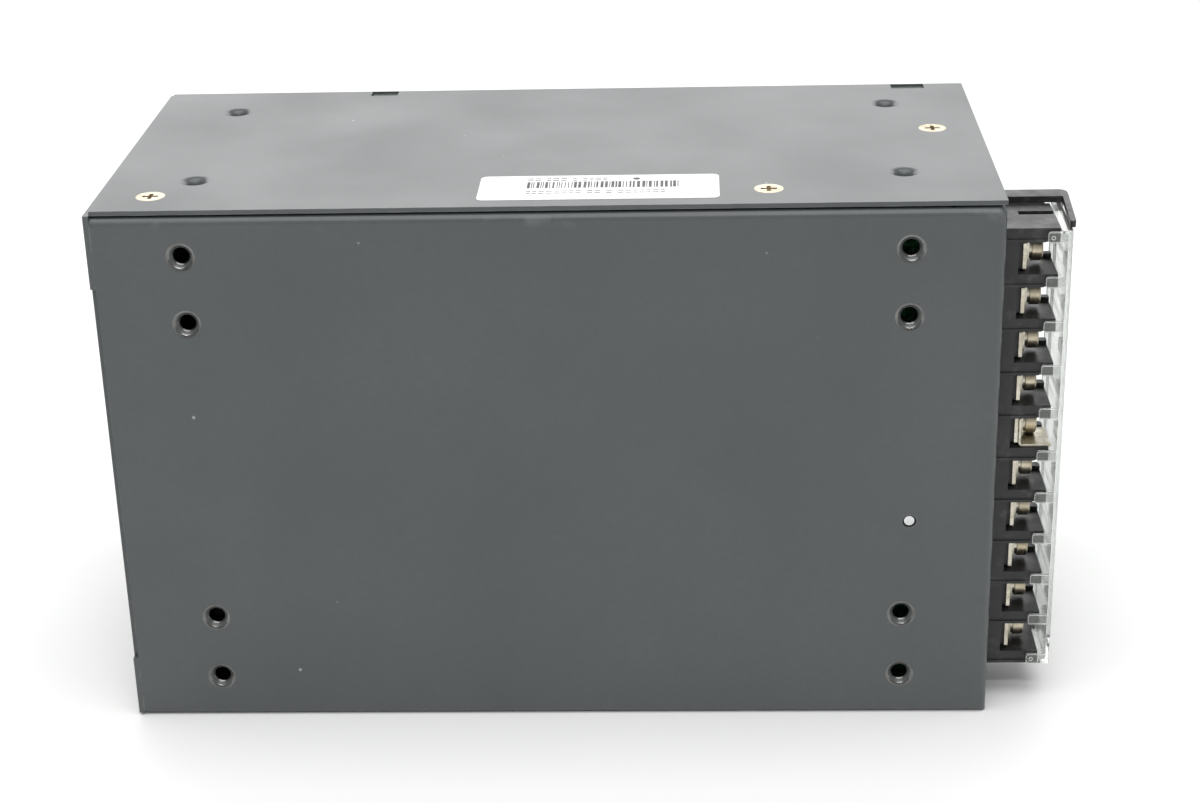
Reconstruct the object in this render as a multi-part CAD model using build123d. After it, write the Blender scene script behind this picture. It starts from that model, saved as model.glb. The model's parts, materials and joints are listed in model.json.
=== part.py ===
from build123d import *
import os
from math import hypot

os.makedirs("parts", exist_ok=True)

# Enclosed, fan-cooled power supply with one row of screw terminals on its front end.
# All lengths are in millimetres. The origin is the middle of the case's base, +X points
# towards the terminals, +Z is up, and -Y is the side wall beside the terminals.

# Case
CASE_LENGTH = 190.0
CASE_WIDTH = 92.0
CASE_HEIGHT = 120.0
CHASSIS_SHEET = 1.2
COVER_SHEET = 1.0
COVER_SETBACK = 0.8
CHASSIS_TOP = 118.6
CHASSIS_FAR = 44.8
BEND_OUTER = 1.8
BEND_INNER = 0.6
TOP_FLANGE_WIDTH = 16.5
FRONT_FLANGE_WIDTH = 15.5
FAR_LIP_HEIGHT = 12.0
REAR_SHEET = 1.2
REAR_INSET = 1.4
REAR_EAR_HEIGHT = 14.7

# Extruded M4 tapped holes of the side, the base and the top
TAP_R = 1.65
TAP_MOUTH_R = 1.9
TAP_COLLAR_R = 2.9
TAP_COLLAR_LENGTH = 1.6
TAP_X = (-76.5, 75.5)
TAP_SIDE_Z = (10.0, 25.0, 95.0, 110.0)
TAP_FLAT_Y = (-25.0, 28.0)

# M3 screws of the case
M3_R = 1.45
M3_HEAD_R = 3.1
M3_PAN_R = 2.8
M3_TAP_R = 1.5
COVER_TOP_SCREWS = ((-84.0, -35.4), (46.4, -35.3), (84.5, 7.3))
COVER_SIDE_SCREW_X = (-70.0, 0.0, 70.0)
COVER_SIDE_SCREW_Z = 6.5
REAR_SCREW_Y = 40.0
REAR_SCREW_Z = (9.0, 110.0)
GROUND_SCREW = (76.7, 47.6)

# Shallow recesses beside the cover's far bend, and the label on its top
RECESS_SPANS = ((-46.6, -40.2), (78.0, 85.8))
RECESS_WIDTH = 4.5
RECESS_DEPTH = 0.7
LABEL_X = (-14.6, 36.1)
LABEL_Y = (-41.1, -24.9)
LABEL_THICKNESS = 0.12

# Front vents
VENT_LENGTH = 18.0
VENT_WIDTH = 2.6
VENT_PITCH = 6.0
VENT_COLUMN_Y = (4.0, 27.0)
VENT_FIRST_Z = 13.0
VENT_ROWS = (13, 17)

# Terminal block: eleven barriers make ten cells
CELLS = 10
PITCH = 10.0
BLOCK_MID_Z = 60.0
BLOCK_HALF_Z = 51.6
BLOCK_NEAR = -38.5
BLOCK_FAR = -16.7
BLOCK_BASE = (95.0, 98.6)
BARRIER_OUT = 107.0
BARRIER_HALF = 1.4
BARRIER_FAR = -23.8
POST_Y = (-28.0, -26.4)
POST_WIDTH = 2.0
POST_HEIGHT = 0.9
PEDESTAL_OUT = 99.6
STUB_IN = 88.0
SCREW_Y = -31.0
TERMINAL_SHEET = 0.9
TERMINAL_HALF = 3.3
SCREW_R = 2.0
SCREW_HEAD_R = 2.95
SCREW_HEAD_LENGTH = 2.35
WASHER_GAP = 0.2
WASHER_THICKNESS = 0.65
LOCK_WASHER_R = 2.5
TAB_CELL = 5
TAB_SHEET = 0.55

# Clear terminal cover, hinged on its far edge
SHIELD_X = (108.6, 109.6)
SHIELD_NEAR = -39.4
HINGE = (109.1, -19.1)
HINGE_BARREL_R = 1.3
HINGE_PIN_R = 0.95
HINGE_HOLE_R = 1.0
HINGE_HOLE_DEPTH = 1.0
HINGE_PIN_REACH = 0.9
CLIP_IN = 104.4
CLIP_THICKNESS = 0.7
BRACKET_THICKNESS = 1.4
BRACKET_Y = (-21.5, -16.7)

# Front controls
LAMP = (-6.0, 108.0)
LAMP_R = 2.5
TRIMMER = (-6.0, 97.0)
TRIMMER_R = 3.1

# 60 mm fan on the rear panel
FAN_SIZE = 60.0
FAN_DEPTH = 25.0
FAN_MID_Z = 60.0
FAN_BORE_R = 28.6
FAN_HOLE = 25.0
FAN_HUB_R = 12.0
FAN_BLADES = 7
FAN_FLANGE = 3.5
GUARD_RINGS = (9.0, 15.5, 22.0, 28.5)
GUARD_WIRE = 1.5
GUARD_STAND = 1.2
GUARD_EYE_R = 3.7
FAN_SCREW_LENGTH = 16.0
FAN_SCREW_HEAD = 1.8

# Main circuit board, parallel to the side wall
BOARD_X = (-64.0, 86.0)
BOARD_Y = (-38.4, -36.8)
BOARD_Z = (6.0, 114.0)
STANDOFFS = ((-58.0, 12.0), (4.0, 12.0), (66.0, 12.0), (-58.0, 108.0), (4.0, 108.0), (66.0, 108.0))

FRONT = CASE_LENGTH / 2
REAR = -CASE_LENGTH / 2
NEAR = -CASE_WIDTH / 2
FAR = CASE_WIDTH / 2
WALL_INNER = NEAR + CHASSIS_SHEET
COVER_UNDER = CASE_HEIGHT - COVER_SHEET
REAR_FACE = REAR - REAR_SHEET
BOARD_TOP = BOARD_Y[1]
BARRIER_Z = [BLOCK_MID_Z + PITCH * (i - CELLS / 2) for i in range(CELLS + 1)]
CELL_Z = [z + PITCH / 2 for z in BARRIER_Z[:-1]]
BLOCK_Z = (BLOCK_MID_Z - BLOCK_HALF_Z, BLOCK_MID_Z + BLOCK_HALF_Z)
PLATE_TOP = PEDESTAL_OUT + TERMINAL_SHEET


def block(x, y, z):
    """A box given by its two limits along each axis."""
    middle = [(low + high) / 2 for low, high in (x, y, z)]
    size = [high - low for low, high in (x, y, z)]
    return Pos(*middle) * Box(*size)


def around(value, half):
    """Two limits, half on each side of a value."""
    return (value - half, value + half)


def rod_x(y, z, radius, x):
    """A cylinder along X."""
    return Pos(sum(x) / 2, y, z) * Rot(0, 90, 0) * Cylinder(radius, x[1] - x[0])


def rod_y(x, z, radius, y):
    """A cylinder along Y."""
    return Pos(x, sum(y) / 2, z) * Rot(90, 0, 0) * Cylinder(radius, y[1] - y[0])


def rod_z(x, y, radius, z):
    """A cylinder along Z."""
    return Pos(x, y, sum(z) / 2) * Cylinder(radius, z[1] - z[0])


def edges_at(shape, axis, **place):
    """Straight edges of a shape that run along an axis through the given coordinates."""
    chosen = shape.edges().filter_by(axis)
    for name, value in place.items():
        chosen = chosen.filter_by(lambda e, n=name, v=value: abs(getattr(e.center(), n) - v) < 1e-4)
    return chosen


def save(node, *shapes):
    """Write one sub-part. Repeated fasteners stay separate solids in one file."""
    solids = [solid for shape in shapes for solid in shape.solids()]
    export_step(Compound(solids), f"parts/{node}.step")


def revolved(points):
    """A turned piece about Z from an outline of radius and height pairs."""
    return revolve(Plane.XZ * make_face(Polyline(*points, close=True)), Axis.Z)


def tap_cutter(depth):
    """Opening of an extruded tapped hole: a rounded mouth at height 0 and a bore below it."""
    wide = TAP_R + TAP_MOUTH_R
    middle = TAP_MOUTH_R * 0.5**0.5
    mouth = ThreePointArc(
        (wide, 0), (wide - middle, middle - TAP_MOUTH_R), (TAP_R, -TAP_MOUTH_R)
    )
    outside = Polyline((0, 0), (0, 1), (wide, 1), (wide, 0))
    bore = Polyline((TAP_R, -TAP_MOUTH_R), (TAP_R, -depth - 1), (0, -depth - 1), (0, 0))
    return revolve(Plane.XZ * make_face(outside + mouth + bore), Axis.Z)


def with_taps(sheet, places, thickness):
    """Add an inward collar and cut a tapped hole at each place on a sheet's outer face."""
    depth = thickness + TAP_COLLAR_LENGTH
    collar = Pos(0, 0, -depth / 2 - 0.2) * Cylinder(TAP_COLLAR_R, depth - 0.4)
    for place in places:
        sheet = sheet + place * collar
    for place in places:
        sheet = sheet - place * tap_cutter(depth)
    return sheet


def cross_recess(width, span, depth):
    """A four-armed driver recess cut down from height 0."""
    arm = block(around(0, span / 2), around(0, width / 2), (-depth, 0.5))
    return arm + Rot(0, 0, 90) * arm


def flat_head(length, gap=0.0):
    """A countersunk M3 screw with its head's face at height 0, or its seat with a gap all round."""
    head = M3_HEAD_R + gap
    shank = M3_R + gap
    top = gap
    points = (
        (0, top),
        (head, top),
        (head, -0.2 - gap),
        (shank, -1.8 - gap),
        (shank, 0.4 - length),
        (shank - 0.35, -length),
        (0, -length),
    )
    return revolved(points)


def flat_head_screw(length):
    """A countersunk screw with its cross recess."""
    return flat_head(length) - cross_recess(0.85, 3.4, 1.1)


def pan_head_screw(length, shank=M3_R, head=M3_PAN_R, height=2.0):
    """A pan-head screw whose head stands above height 0."""
    points = (
        (0, height),
        (head - 0.9, height),
        (head, height - 0.9),
        (head, 0),
        (shank, 0),
        (shank, 0.4 - length),
        (shank - 0.35, -length),
        (0, -length),
    )
    return revolved(points) - Pos(0, 0, height) * cross_recess(0.85, head * 1.15, 1.1)


def facing_near(x, z, y=NEAR):
    """Place with its own height axis pointing out of the near side."""
    return Pos(x, y, z) * Rot(90, 0, 0)


def facing_far(x, z, y=FAR):
    """Place with its own height axis pointing out of the far side."""
    return Pos(x, y, z) * Rot(-90, 0, 0)


def facing_rear(y, z, x=REAR_FACE):
    """Place with its own height axis pointing out of the rear."""
    return Pos(x, y, z) * Rot(0, -90, 0)


def facing_front(y, z, x=FRONT):
    """Place with its own height axis pointing out of the front."""
    return Pos(x, y, z) * Rot(0, 90, 0)


TOP_PLACES = [Pos(x, y, CASE_HEIGHT) for x in TAP_X for y in TAP_FLAT_Y]
BASE_PLACES = [Pos(x, y, 0) * Rot(180, 0, 0) for x in TAP_X for y in TAP_FLAT_Y]
SIDE_PLACES = [facing_near(x, z) for x in TAP_X for z in TAP_SIDE_Z]
REAR_PLACES = [facing_rear(y * REAR_SCREW_Y, z) for y in (-1, 1) for z in REAR_SCREW_Z]
COVER_TOP_PLACES = [Pos(x, y, CASE_HEIGHT) for x, y in COVER_TOP_SCREWS]
COVER_SIDE_PLACES = [facing_far(x, COVER_SIDE_SCREW_Z) for x in COVER_SIDE_SCREW_X]


def bent_shell(outer, inner, bends):
    """A closed sheet box: both sides of each named bend are rounded, then the inside is taken out."""
    outer_edges = [edge for axis, place, _ in bends for edge in edges_at(outer, axis, **place)]
    inner_edges = [edge for axis, _, place in bends for edge in edges_at(inner, axis, **place)]
    return fillet(outer_edges, BEND_OUTER) - fillet(inner_edges, BEND_INNER)


def make_chassis():
    """Side wall, base and front wall from one sheet, with a flange under the cover."""
    t = CHASSIS_SHEET
    front_in, top_in, far_in = FRONT - t, CHASSIS_TOP - t, CHASSIS_FAR - t
    outer = block((REAR, FRONT), (NEAR, CHASSIS_FAR), (0, CHASSIS_TOP))
    inner = block((REAR - 1, front_in), (WALL_INNER, far_in), (t, top_in))
    bends = (
        (Axis.X, {"Y": NEAR, "Z": 0}, {"Y": WALL_INNER, "Z": t}),
        (Axis.X, {"Y": NEAR, "Z": CHASSIS_TOP}, {"Y": WALL_INNER, "Z": top_in}),
        (Axis.X, {"Y": CHASSIS_FAR, "Z": 0}, {"Y": far_in, "Z": t}),
        (Axis.Z, {"X": FRONT, "Y": NEAR}, {"X": front_in, "Y": WALL_INNER}),
        (Axis.Y, {"X": FRONT, "Z": CHASSIS_TOP}, {"X": front_in, "Z": top_in}),
    )
    sheet = bent_shell(outer, inner, bends)
    above, beyond = (top_in - 1, CHASSIS_TOP + 1), FAR + 1
    near_flange, front_flange = NEAR + TOP_FLANGE_WIDTH, FRONT - FRONT_FLANGE_WIDTH
    sheet -= block((REAR - 1, front_flange), (near_flange, beyond), above)
    sheet -= block((REAR - 1, front_in), (far_in - 0.01, beyond), (FAR_LIP_HEIGHT, CHASSIS_TOP + 1))
    # Relief notch and slit where the two top flanges meet
    notch = front_flange + 4.0
    sheet -= block((notch, notch + 0.9), (WALL_INNER, near_flange), (top_in - 0.7, CHASSIS_TOP + 1))
    sheet -= block((notch, FRONT + 1), around(WALL_INNER + 0.9, 0.35), (top_in - 0.7, CHASSIS_TOP + 1))
    for low, high in ((3.0, 15.0), (104.0, 116.0)):
        sheet += block((REAR, REAR + t), (WALL_INNER - 0.1, -36.0), (low, high))
    sheet += block((REAR, REAR + t), (36.0, far_in + 0.1), (t - 0.1, FAR_LIP_HEIGHT))
    for place in REAR_PLACES:
        sheet -= place * flat_head(8.0, 0.05)
    sheet = with_taps(sheet, SIDE_PLACES + BASE_PLACES, t)
    for place in COVER_TOP_PLACES + COVER_SIDE_PLACES:
        sheet -= place * flat_head(8.0, 0.05)
    sheet -= rod_y(*GROUND_SCREW, M3_TAP_R, (NEAR - 1, NEAR + 3))
    sheet -= block((front_in - 1, FRONT + 1), (-36.2, -16.5), (10.8, 109.2))
    sheet -= rod_x(*LAMP, LAMP_R + 0.1, (front_in - 1, FRONT + 1))
    sheet -= rod_x(*TRIMMER, TRIMMER_R + 0.3, (front_in - 1, FRONT + 1))
    slot = extrude(Plane.YZ * SlotOverall(VENT_LENGTH, VENT_WIDTH), 2 * t, both=True)
    vents = [
        Pos(FRONT, y, VENT_FIRST_Z + VENT_PITCH * row) * slot
        for y, rows in zip(VENT_COLUMN_Y, VENT_ROWS)
        for row in range(rows)
    ]
    return sheet - vents


def make_cover():
    """Top and far side from one sheet, set back a little from the near wall, with holes and recesses."""
    outer = block((REAR, FRONT), (NEAR + COVER_SETBACK, FAR), (0.4, CASE_HEIGHT))
    inner = block((REAR - 1, FRONT + 1), (NEAR - 1, FAR - COVER_SHEET), (-1, COVER_UNDER))
    outer = fillet(edges_at(outer, Axis.X, Y=FAR, Z=CASE_HEIGHT), BEND_OUTER)
    inner = fillet(edges_at(inner, Axis.X, Y=FAR - COVER_SHEET, Z=COVER_UNDER), BEND_INNER)
    sheet = outer - inner
    sheet += block((REAR, REAR + COVER_SHEET), (36.0, FAR - 0.5), (104.0, 116.0))
    sheet = with_taps(sheet, TOP_PLACES, COVER_SHEET)
    for place in COVER_TOP_PLACES + COVER_SIDE_PLACES + REAR_PLACES:
        sheet -= place * flat_head(8.0, 0.05)
    recess_far = FAR - COVER_SHEET - 0.1
    for span in RECESS_SPANS:
        recess_y = (recess_far - RECESS_WIDTH, recess_far)
        sheet -= block(span, recess_y, (CASE_HEIGHT - RECESS_DEPTH, CASE_HEIGHT + 1))
    return sheet


def make_rear_panel():
    """Flat end plate with the fan opening. Its long edges are set in between four ears."""
    plate = block((REAR_FACE, REAR), (NEAR, FAR), (0.6, CASE_HEIGHT - 0.8))
    through = (REAR_FACE - 1, REAR + 1)
    middle = (REAR_EAR_HEIGHT, CASE_HEIGHT - REAR_EAR_HEIGHT - 2.3)
    plate -= block(through, (NEAR - 1, NEAR + REAR_INSET), middle)
    plate -= block(through, (FAR - REAR_INSET, FAR + 1), middle)
    plate -= rod_x(0, FAN_MID_Z, FAN_BORE_R, through)
    for y in (-1, 1):
        for z in (-1, 1):
            plate -= rod_x(y * FAN_HOLE, FAN_MID_Z + z * FAN_HOLE, SCREW_R + 0.2, through)
    for place in REAR_PLACES:
        plate -= place * flat_head(8.0, 0.05)
    return plate


def make_label():
    """Thin rounded sticker."""
    sticker = block(LABEL_X, LABEL_Y, (CASE_HEIGHT, CASE_HEIGHT + LABEL_THICKNESS))
    return fillet(sticker.edges().filter_by(Axis.Z), 1.5)


save("chassis", make_chassis())
save("cover", make_cover())
save("rear_panel", make_rear_panel())
save("label", make_label())
save(
    "cover_screws",
    *[place * flat_head_screw(6.0) for place in COVER_TOP_PLACES + COVER_SIDE_PLACES],
)
save("rear_panel_screws", *[place * flat_head_screw(6.0) for place in REAR_PLACES])


# Terminal block


def make_terminal_block():
    """Base with a stub through the front wall, eleven barriers and ten screw pedestals."""
    near_far = (BLOCK_NEAR, BLOCK_FAR)
    body = block(BLOCK_BASE, near_far, BLOCK_Z)
    body += block((STUB_IN, FRONT + 0.1), (-36.0, -16.7), (11.0, 109.0))
    base_out = BLOCK_BASE[1] - 0.1
    for z in BARRIER_Z[1:-1]:
        body += block((base_out, BARRIER_OUT), (BLOCK_NEAR, BARRIER_FAR), around(z, BARRIER_HALF))
        body += block(
            (BARRIER_OUT - POST_WIDTH, BARRIER_OUT), POST_Y, (z, z + BARRIER_HALF + POST_HEIGHT)
        )
    for z in ((BLOCK_Z[0], BARRIER_Z[0] + BARRIER_HALF), (BARRIER_Z[-1] - BARRIER_HALF, BLOCK_Z[1])):
        body += block((base_out, BARRIER_OUT), (BLOCK_NEAR, -22.0), z)
        body += block((base_out, BARRIER_OUT - 1.0), (-22.1, BLOCK_FAR), z)
    for z in BARRIER_Z:
        ledge = (z - BARRIER_HALF, z - BARRIER_HALF + 0.6)
        body += block((FRONT + 0.3, CLIP_IN - 0.3), (BLOCK_NEAR - 0.4, BLOCK_NEAR + 0.1), ledge)
    for z in CELL_Z:
        body += block((base_out, PEDESTAL_OUT), (-36.5, -24.4), around(z, 3.0))
    for z in CELL_Z:
        body -= block((STUB_IN - 1, PEDESTAL_OUT + 1), (-26.1, -25.0), around(z, 2.5))
        body -= rod_x(SCREW_Y, z, SCREW_R + 0.25, (STUB_IN + 2.0, PEDESTAL_OUT + 1))
    # Grooves in both end walls, where a marking strip can slide in
    for z in ((BLOCK_Z[1] - 1.2, BLOCK_Z[1] + 1), (BLOCK_Z[0] - 1, BLOCK_Z[0] + 1.2)):
        body -= block((99.5, BARRIER_OUT + 1), (-29.4, -27.2), z)
    return body


def make_terminal_plate(z):
    """Tinned plate on the pedestal with a tail that runs back to the circuit board."""
    plate = block((PEDESTAL_OUT, PLATE_TOP), (-37.2, -24.4), around(z, TERMINAL_HALF))
    plate = chamfer(edges_at(plate, Axis.X, Y=-37.2), 0.5)
    plate += block((84.0, PEDESTAL_OUT + 0.1), (-26.0, -25.1), around(z, 2.4))
    plate += block((84.0, 84.9), (BOARD_TOP, -25.1), around(z, 2.4))
    return plate - rod_x(SCREW_Y, z, SCREW_R + 0.06, (STUB_IN, PLATE_TOP + 1))


def make_washers(z, seat):
    """Square pressure washer and split lock washer on the terminal screw."""
    flat = (seat + WASHER_GAP, seat + WASHER_GAP + WASHER_THICKNESS)
    lock = (flat[1], flat[1] + WASHER_THICKNESS)
    bore = rod_x(SCREW_Y, z, SCREW_R + 0.1, (flat[0] - 1, lock[1] + 1))
    square = block(flat, around(SCREW_Y, 2.9), around(z, 2.9)) - bore
    ring = rod_x(SCREW_Y, z, LOCK_WASHER_R, lock) - bore
    ring -= block((lock[0] - 1, lock[1] + 1), around(SCREW_Y + 1.2, 0.35), (z, z + 4))
    return square, ring


def make_terminal_screw(z, seat):
    """Round-headed terminal screw with a cross recess and a slot."""
    under = seat + WASHER_GAP + 2 * WASHER_THICKNESS + 0.05
    head = rod_x(SCREW_Y, z, SCREW_HEAD_R, (under, under + SCREW_HEAD_LENGTH))
    head = fillet(head.edges().group_by(Axis.X)[-1], 0.5)
    face = facing_front(SCREW_Y, z, under + SCREW_HEAD_LENGTH)
    screw = head + rod_x(SCREW_Y, z, SCREW_R, (STUB_IN + 4.0, under + 0.1))
    screw -= face * cross_recess(1.0, 3.8, 1.3)
    return screw - face * block(around(0, SCREW_HEAD_R + 1), around(0, 0.45), (-0.8, 0.5))


def make_bent_tab(z):
    """L-shaped metal tab under one terminal screw; its free leg lies above the barrier."""
    low = z - PITCH / 2 + BARRIER_HALF
    path = FilletPolyline(
        (PLATE_TOP + TAB_SHEET / 2, z + 3.0),
        (PLATE_TOP + TAB_SHEET / 2, low + TAB_SHEET / 2),
        (107.6, low + TAB_SHEET / 2),
        radius=0.8,
    )
    # The path is drawn in X and Z, thickened to the sheet and given its width along Y
    outline = Plane.XZ * trace(path, TAB_SHEET)
    tab = Pos(0, POST_Y[0] - 0.2, 0) * extrude(outline, 9.6)
    return tab - rod_x(SCREW_Y, z, SCREW_R + 0.15, (PLATE_TOP - 1, PLATE_TOP + TAB_SHEET + 0.5))


def make_shield():
    """Clear cover: a plate with a clip at each barrier, end walls and a hinge barrel with pins."""
    span = (BLOCK_Z[0] + 0.3, BLOCK_Z[1] - 0.3)
    shield = block(SHIELD_X, (SHIELD_NEAR, HINGE[1]), span)
    shield += rod_z(*HINGE, HINGE_BARREL_R, span)
    shield += rod_z(*HINGE, HINGE_PIN_R, (BLOCK_Z[0] - HINGE_PIN_REACH, BLOCK_Z[1] + HINGE_PIN_REACH))
    for z in (span[0], span[1] - 0.9):
        shield += block((BARRIER_OUT + 0.3, SHIELD_X[0] + 0.1), (SHIELD_NEAR, -22.0), (z, z + 0.9))
    for z in BARRIER_Z:
        low = max(z - BARRIER_HALF, span[0])
        clip = block(
            (CLIP_IN, SHIELD_X[0] + 0.1), (SHIELD_NEAR, SHIELD_NEAR + CLIP_THICKNESS), (low, z + 0.9)
        )
        shield += fillet(edges_at(clip, Axis.Y, X=CLIP_IN), 0.5)
    return shield


def make_bracket(inner, thickness, arm):
    """Hinge bracket at one end of the block. The upper one also reaches along the shield's end."""
    z = (min(inner, inner + thickness), max(inner, inner + thickness))
    end = HINGE[0] + 2.1
    bracket = block((FRONT, end), BRACKET_Y, z)
    bracket = fillet(edges_at(bracket, Axis.Z, X=end, Y=BRACKET_Y[1]), 1.8)
    if arm:
        outline = Polyline((109.9, -20.0), (109.05, -37.6), (110.25, -37.6), (end, -20.0), close=True)
        bracket += Pos(0, 0, z[0]) * extrude(make_face(outline), z[1] - z[0])
        bracket += rod_z(109.65, -37.6, 0.6, z)
    return bracket - rod_z(*HINGE, HINGE_HOLE_R, around(inner, HINGE_HOLE_DEPTH))


save("terminal_block", make_terminal_block())
save("terminal_plates", *[make_terminal_plate(z) for z in CELL_Z])
for index, cell in enumerate(CELL_Z):
    lifted = TAB_SHEET if index == TAB_CELL else 0.0
    save(f"terminal_washers_{index + 1}", *make_washers(cell, PLATE_TOP + lifted))
    save(f"terminal_screw_{index + 1}", make_terminal_screw(cell, PLATE_TOP + lifted))
save("bent_tab", make_bent_tab(CELL_Z[TAB_CELL]))
save("terminal_shield", make_shield())
save("shield_bracket_top", make_bracket(BLOCK_Z[1], BRACKET_THICKNESS, True))
save("shield_bracket_bottom", make_bracket(BLOCK_Z[0], -BRACKET_THICKNESS, False))


# Front controls on a small board behind the front wall

CONTROL_FACE = FRONT - 9.0


def make_trimmer_dial():
    """Turning part of the output voltage trimmer."""
    dial = rod_x(*TRIMMER, TRIMMER_R, (CONTROL_FACE + 5.2, FRONT - 0.6))
    dial += rod_x(*TRIMMER, 1.2, (CONTROL_FACE + 1.0, CONTROL_FACE + 5.3))
    return dial - facing_front(*TRIMMER, FRONT - 0.6) * cross_recess(0.8, 4.6, 1.0)


def make_trimmer_body():
    """Square housing of the trimmer with a bore for the dial's stem."""
    body = block((CONTROL_FACE, CONTROL_FACE + 5.0), around(TRIMMER[0], 4.75), around(TRIMMER[1], 4.75))
    return body - rod_x(*TRIMMER, 1.25, (CONTROL_FACE + 0.8, CONTROL_FACE + 6))


def make_lamp():
    """Round signal lamp that stands out of the front wall."""
    dome = Pos(FRONT + 0.6, *LAMP) * Sphere(LAMP_R)
    dome &= block((FRONT + 0.6, FRONT + 4), around(LAMP[0], 4), around(LAMP[1], 4))
    return rod_x(*LAMP, LAMP_R, (CONTROL_FACE, FRONT + 0.6)) + dome


save("control_board", block((CONTROL_FACE - 1.6, CONTROL_FACE), (-15.0, 6.0), (88.0, 113.0)))
save("trimmer_body", make_trimmer_body())
save("trimmer_dial", make_trimmer_dial())
save("power_lamp", make_lamp())


# Fan

FAN_X = (REAR, REAR + FAN_DEPTH)
FAN_CORNERS = [(y * FAN_HOLE, FAN_MID_Z + z * FAN_HOLE) for y in (-1, 1) for z in (-1, 1)]


def make_fan_frame():
    """Square fan housing: two flanges, a round duct and a strutted motor seat."""
    half = FAN_SIZE / 2
    plate = block((0, FAN_FLANGE), around(0, half), around(FAN_MID_Z, half))
    plate = fillet(plate.edges().filter_by(Axis.X), 3.0)
    frame = rod_x(0, FAN_MID_Z, half - 0.1, FAN_X)
    frame += Pos(FAN_X[0], 0, 0) * plate
    frame += Pos(FAN_X[1] - FAN_FLANGE, 0, 0) * plate
    frame -= rod_x(0, FAN_MID_Z, FAN_BORE_R, (FAN_X[0] - 1, FAN_X[1] + 1))
    seat = (FAN_X[1] - 3.0, FAN_X[1])
    spokes = block(seat, around(0, FAN_BORE_R + 0.8), around(0, 2.0))
    spokes += Rot(90, 0, 0) * spokes
    frame += Pos(0, 0, FAN_MID_Z) * spokes
    frame += rod_x(0, FAN_MID_Z, FAN_HUB_R + 1.0, seat)
    frame -= rod_x(0, FAN_MID_Z, 1.55, (seat[0] - 1, seat[1] + 1))
    for y, z in FAN_CORNERS:
        frame -= rod_x(y, z, SCREW_R + 0.2, (FAN_X[0] - 1, FAN_X[1] + 1))
    return frame


def make_fan_rotor():
    """Hub with seven pitched blades and its shaft."""
    span = (FAN_X[0] + 1.0, FAN_X[1] - 4.0)
    rotor = rod_x(0, 0, FAN_HUB_R, span)
    sweep = rod_x(0, 0, FAN_BORE_R - 0.8, span)
    middle = sum(span) / 2
    reach = FAN_BORE_R - FAN_HUB_R + 2.0
    blade = Pos(middle, 0, FAN_HUB_R - 1.5 + reach / 2) * Rot(0, 0, 38) * Box(23.0, 1.6, reach)
    for index in range(FAN_BLADES):
        rotor += (Rot(360 / FAN_BLADES * index, 0, 0) * blade) & sweep
    rotor += rod_x(0, 0, 1.5, (FAN_X[1] - 4.1, FAN_X[1] - 0.5))
    return Pos(0, 0, FAN_MID_Z) * rotor


def make_fan_guard():
    """Finger guard: four rings on two diagonal bars that end in screw eyes."""
    depth = (REAR_FACE - GUARD_STAND - GUARD_WIRE, REAR_FACE - GUARD_STAND)
    reach = hypot(FAN_HOLE, FAN_HOLE)
    bar = block(depth, around(0, reach - GUARD_EYE_R + 0.1), around(0, GUARD_WIRE / 2))
    guard = Rot(45, 0, 0) * bar + Rot(-45, 0, 0) * bar
    for radius in GUARD_RINGS:
        ring = rod_x(0, 0, radius + GUARD_WIRE / 2, depth)
        guard += ring - rod_x(0, 0, radius - GUARD_WIRE / 2, depth)
    for y in (-1, 1):
        for z in (-1, 1):
            guard += rod_x(y * FAN_HOLE, z * FAN_HOLE, GUARD_EYE_R, (depth[0] + 0.3, REAR_FACE))
    guard = Pos(0, 0, FAN_MID_Z) * guard
    for y, z in FAN_CORNERS:
        guard -= rod_x(y, z, SCREW_R + 0.1, (depth[0] - 1, REAR_FACE + 1))
    return guard


def make_fan_screw(y, z):
    """M4 screw through the guard and the panel into the fan's own hole."""
    seat = REAR_FACE - GUARD_STAND - GUARD_WIRE + 0.3
    return facing_rear(y, z, seat) * pan_head_screw(FAN_SCREW_LENGTH, SCREW_R, 3.5, FAN_SCREW_HEAD)


save("fan_frame", make_fan_frame())
save("fan_rotor", make_fan_rotor())
save("fan_guard", make_fan_guard())
save("fan_screws", *[make_fan_screw(y, z) for y, z in FAN_CORNERS])


# Main board and what it carries


def on_board(x, z, height):
    """A box standing on the component side of the main board."""
    return block(x, (BOARD_TOP, BOARD_TOP + height), z)


def can(x, z, radius, height):
    """A round capacitor can standing on the main board, with a rounded rim."""
    body = rod_y(x, z, radius, (BOARD_TOP, BOARD_TOP + height))
    return fillet(body.edges().filter_by(GeomType.CIRCLE), 0.9)


def ring_core(x, z, outer, inner, depth, lift):
    """A toroidal core lying flat above the main board."""
    y = (BOARD_TOP + lift, BOARD_TOP + lift + depth)
    return rod_y(x, z, outer, y) - rod_y(x, z, inner, y)


def winding(x, z, outer, inner, depth, lift, cut):
    """Wire wound round a toroidal core: a thick sleeve with the core's space and gaps taken out."""
    wire = 1.6
    y = (BOARD_TOP + lift - wire, BOARD_TOP + lift + depth + wire)
    sleeve = rod_y(x, z, outer + wire, y) - rod_y(x, z, inner - wire, y)
    sleeve -= ring_core(x, z, outer, inner, depth, lift)
    return sleeve - block(around(x, cut), (y[0] - 1, y[1] + 1), around(z, outer + 3))


def heatsink(z, fins, x, height):
    """Upright plate on the main board with fins on one side."""
    base = on_board(x, z, height)
    for index in range(6):
        level = BOARD_TOP + 3.0 + index * (height - 5.0) / 5
        base += block(x, (level, level + 2.0), fins)
    return base


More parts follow.
